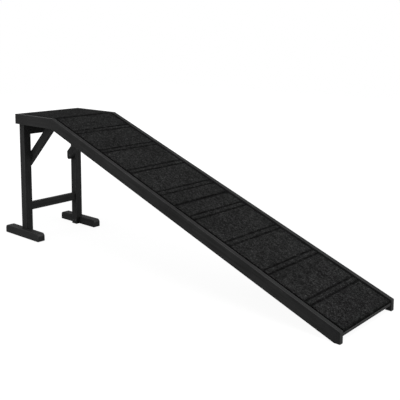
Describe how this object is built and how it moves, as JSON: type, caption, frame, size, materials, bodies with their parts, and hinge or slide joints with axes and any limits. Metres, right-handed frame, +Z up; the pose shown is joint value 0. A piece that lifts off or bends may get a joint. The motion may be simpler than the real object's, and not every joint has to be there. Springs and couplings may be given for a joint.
{
  "type": "dog ramp with platform",
  "caption": "Wooden dog ramp with a raised platform on a braced leg frame and a carpeted slope with tread strips that folds at its middle.",
  "frame": {"origin": "on the floor, in the middle of the box around the whole ramp with its feet", "axes": "+X from the platform down the ramp to the toe, +Y to the left side, +Z up"},
  "size_m": [1.994, 0.4, 0.635],
  "materials": {
    "black_wood": "satin black paint",
    "bare_wood": "bare plywood and pine",
    "carpet": "short pile carpet",
    "black_steel": "black satin"
  },
  "bodies": {
    "frame": {"platform_rail_right": "black_wood", "platform_rail_left": "black_wood", "upper_ramp_rail_right": "black_wood", "upper_ramp_rail_left": "black_wood", "platform_end_rail": "black_wood", "kink_cross_rail": "black_wood", "seam_rail_upper": "black_wood", "platform_ledger_right": "black_wood", "platform_ledger_left": "black_wood", "upper_ledger_right": "black_wood", "upper_ledger_left": "black_wood", "leg_right": "black_wood", "leg_left": "black_wood", "foot_right": "black_wood", "foot_left": "black_wood", "top_crossbar": "black_wood", "stretcher": "black_wood", "brace_right": "black_wood", "brace_left": "black_wood", "platform_deck": "black_wood", "upper_deck": "black_wood", "tread_batten_1": "bare_wood", "tread_batten_2": "bare_wood", "tread_batten_3": "bare_wood", "tread_batten_4": "bare_wood", "platform_carpet": "carpet", "upper_carpet": "carpet", "hinge_upper_leaf_right": "black_steel", "hinge_upper_leaf_left": "black_steel", "hinge_pin_right": "black_steel", "hinge_pin_left": "black_steel", "brace_foot_screw_right": "black_steel", "brace_head_screw_right": "black_steel", "leg_screw_right": "black_steel", "brace_foot_screw_left": "black_steel", "brace_head_screw_left": "black_steel", "leg_screw_left": "black_steel", "foot_screw_right_1": "black_steel", "foot_screw_right_2": "black_steel", "foot_screw_left_1": "black_steel", "foot_screw_left_2": "black_steel"},
    "lower_ramp": {"lower_ramp_rail_right": "black_wood", "lower_ramp_rail_left": "black_wood", "seam_rail_lower": "black_wood", "toe_strip": "black_wood", "lower_ledger_right": "black_wood", "lower_ledger_left": "black_wood", "lower_deck": "black_wood", "tread_batten_5": "bare_wood", "tread_batten_6": "bare_wood", "tread_batten_7": "bare_wood", "tread_batten_8": "bare_wood", "lower_carpet": "carpet", "hinge_lower_leaf_right": "black_steel", "hinge_lower_leaf_left": "black_steel"}
  },
  "joints": [
    {"name": "ramp_fold", "type": "hinge", "parent": "frame", "child": "lower_ramp", "pos_m": [0.18336, 0, 0.2929], "axis": [0, 1, 0], "range_deg": [0, 175]}
  ]
}
